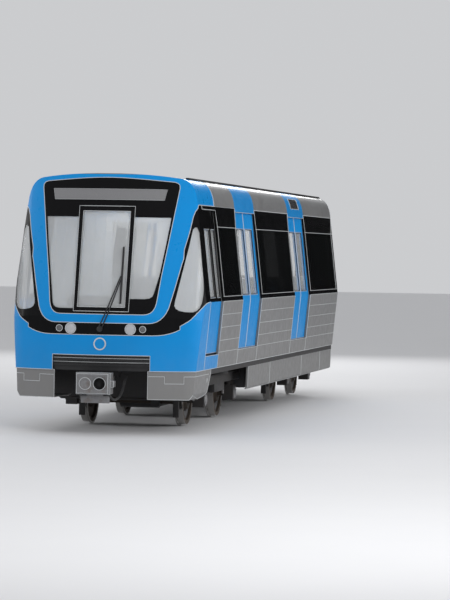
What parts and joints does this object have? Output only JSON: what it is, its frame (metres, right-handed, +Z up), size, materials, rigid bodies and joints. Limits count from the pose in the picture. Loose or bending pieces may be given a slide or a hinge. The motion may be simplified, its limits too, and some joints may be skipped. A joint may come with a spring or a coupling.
{
  "type": "metro driving car",
  "caption": "Metro driving car: hollow body with raked cab front, window bands, pocket sliding doors, seats, gangway, swivelling bogies, free-turning wheelsets and a swinging coupler.",
  "frame": {"origin": "middle of the length over the couplers, on the centreline, at the lowest point of the wheel flanges", "axes": "+X forward towards the cab, +Y to the left, +Z up"},
  "size_m": [15.15, 2.904, 3.8285],
  "materials": {
    "blue_paint": "gloss",
    "grey_paint": "satin",
    "black_paint": "gloss",
    "tinted_glass": "polished",
    "clear_glass": "polished",
    "wall_laminate": "matte",
    "ceiling_panel": "matte",
    "frame_paint": "satin",
    "bellows_rubber": "matte",
    "lamp_glass": "polished",
    "display_panel": "satin",
    "bumper_paint": "satin",
    "wiper_black": "satin",
    "case_paint": "satin",
    "desk_plastic": "matte",
    "driver_fabric": "woven",
    "seat_fabric": "woven",
    "pole_steel": "brushed",
    "bogie_paint": "satin",
    "spring_rubber": "matte",
    "motor_paint": "satin",
    "wheel_steel": "machined",
    "coupler_cast": "cast",
    "drawbar_steel": "cast"
  },
  "bodies": {
    "carbody": {"underframe": "frame_paint", "side_panels": "grey_paint", "window_bands": "black_paint", "window_glass": "tinted_glass", "wall_linings": "wall_laminate", "ceiling": "ceiling_panel", "roof": "grey_paint", "roof_gutters": "black_paint", "roof_vents": "black_paint", "rear_end_wall": "black_paint", "gangway_bellows": "bellows_rubber", "cab_shell": "blue_paint", "front_apron": "blue_paint", "lamp_band": "black_paint", "windscreen_surround": "black_paint", "cab_glass": "clear_glass", "emergency_frame": "black_paint", "destination_display": "display_panel", "headlamps": "lamp_glass", "front_grille": "black_paint", "front_bumpers": "bumper_paint", "wiper": "wiper_black", "side_skirts": "grey_paint", "equipment_cases": "case_paint", "cab_desk": "desk_plastic", "driver_seat": "driver_fabric", "cab_partition": "wall_laminate", "passenger_seats": "seat_fabric", "grab_poles": "pole_steel"},
    "left_cab_door": {"left_cab_door": "blue_paint"},
    "left_door_1_front": {"left_door_1_front": "blue_paint"},
    "left_door_1_rear": {"left_door_1_rear": "blue_paint"},
    "left_door_2_front": {"left_door_2_front": "blue_paint"},
    "left_door_2_rear": {"left_door_2_rear": "blue_paint"},
    "right_cab_door": {"right_cab_door": "blue_paint"},
    "right_door_1_front": {"right_door_1_front": "blue_paint"},
    "right_door_1_rear": {"right_door_1_rear": "blue_paint"},
    "right_door_2_front": {"right_door_2_front": "blue_paint"},
    "right_door_2_rear": {"right_door_2_rear": "blue_paint"},
    "front_bogie": {"front_bogie_frame": "bogie_paint", "front_bogie_springs": "spring_rubber", "front_bogie_motors": "motor_paint"},
    "front_wheelset_1": {"front_wheelset_1": "wheel_steel"},
    "front_wheelset_2": {"front_wheelset_2": "wheel_steel"},
    "rear_bogie": {"rear_bogie_frame": "bogie_paint", "rear_bogie_springs": "spring_rubber", "rear_bogie_motors": "motor_paint"},
    "rear_wheelset_1": {"rear_wheelset_1": "wheel_steel"},
    "rear_wheelset_2": {"rear_wheelset_2": "wheel_steel"},
    "coupler": {"front_coupler": "coupler_cast"},
    "drawbar": {"rear_drawbar": "drawbar_steel"}
  },
  "joints": [
    {"name": "left_cab_door_slide", "type": "slide", "parent": "carbody", "child": "left_cab_door", "axis": [-1, 0, 0], "range_m": [0, 0.75]},
    {"name": "left_door_1_front_slide", "type": "slide", "parent": "carbody", "child": "left_door_1_front", "axis": [1, 0, 0], "range_m": [0, 0.8]},
    {"name": "left_door_1_rear_slide", "type": "slide", "parent": "carbody", "child": "left_door_1_rear", "axis": [-1, 0, 0], "range_m": [0, 0.8]},
    {"name": "left_door_2_front_slide", "type": "slide", "parent": "carbody", "child": "left_door_2_front", "axis": [1, 0, 0], "range_m": [0, 0.8]},
    {"name": "left_door_2_rear_slide", "type": "slide", "parent": "carbody", "child": "left_door_2_rear", "axis": [-1, 0, 0], "range_m": [0, 0.8]},
    {"name": "right_cab_door_slide", "type": "slide", "parent": "carbody", "child": "right_cab_door", "axis": [-1, 0, 0], "range_m": [0, 0.75]},
    {"name": "right_door_1_front_slide", "type": "slide", "parent": "carbody", "child": "right_door_1_front", "axis": [1, 0, 0], "range_m": [0, 0.8]},
    {"name": "right_door_1_rear_slide", "type": "slide", "parent": "carbody", "child": "right_door_1_rear", "axis": [-1, 0, 0], "range_m": [0, 0.8]},
    {"name": "right_door_2_front_slide", "type": "slide", "parent": "carbody", "child": "right_door_2_front", "axis": [1, 0, 0], "range_m": [0, 0.8]},
    {"name": "right_door_2_rear_slide", "type": "slide", "parent": "carbody", "child": "right_door_2_rear", "axis": [-1, 0, 0], "range_m": [0, 0.8]},
    {"name": "front_bogie_yaw", "type": "hinge", "parent": "carbody", "child": "front_bogie", "pos_m": [3.295, 0, 0.678], "axis": [0, 0, 1], "range_deg": [-4, 4]},
    {"name": "front_wheelset_1_spin", "type": "hinge", "parent": "front_bogie", "child": "front_wheelset_1", "pos_m": [4.545, 0, 0.418], "axis": [0, 1, 0], "continuous": true},
    {"name": "front_wheelset_2_spin", "type": "hinge", "parent": "front_bogie", "child": "front_wheelset_2", "pos_m": [2.045, 0, 0.418], "axis": [0, 1, 0], "continuous": true},
    {"name": "rear_bogie_yaw", "type": "hinge", "parent": "carbody", "child": "rear_bogie", "pos_m": [-4.675, 0, 0.678], "axis": [0, 0, -1], "range_deg": [-4, 4]},
    {"name": "rear_wheelset_1_spin", "type": "hinge", "parent": "rear_bogie", "child": "rear_wheelset_1", "pos_m": [-3.425, 0, 0.418], "axis": [0, 1, 0], "continuous": true},
    {"name": "rear_wheelset_2_spin", "type": "hinge", "parent": "rear_bogie", "child": "rear_wheelset_2", "pos_m": [-5.925, 0, 0.418], "axis": [0, 1, 0], "continuous": true},
    {"name": "coupler_yaw", "type": "hinge", "parent": "carbody", "child": "coupler", "pos_m": [6.555, 0, 0.763], "axis": [0, 0, 1], "range_deg": [-20, 20]},
    {"name": "drawbar_yaw", "type": "hinge", "parent": "carbody", "child": "drawbar", "pos_m": [-6.705, 0, 0.763], "axis": [0, 0, -1], "range_deg": [-10, 10]}
  ],
  "couplings": [
    {"joint": "left_door_1_rear_slide", "follows": "left_door_1_front_slide", "ratio": 1},
    {"joint": "left_door_2_rear_slide", "follows": "left_door_2_front_slide", "ratio": 1},
    {"joint": "right_door_1_rear_slide", "follows": "right_door_1_front_slide", "ratio": 1},
    {"joint": "right_door_2_rear_slide", "follows": "right_door_2_front_slide", "ratio": 1}
  ]
}
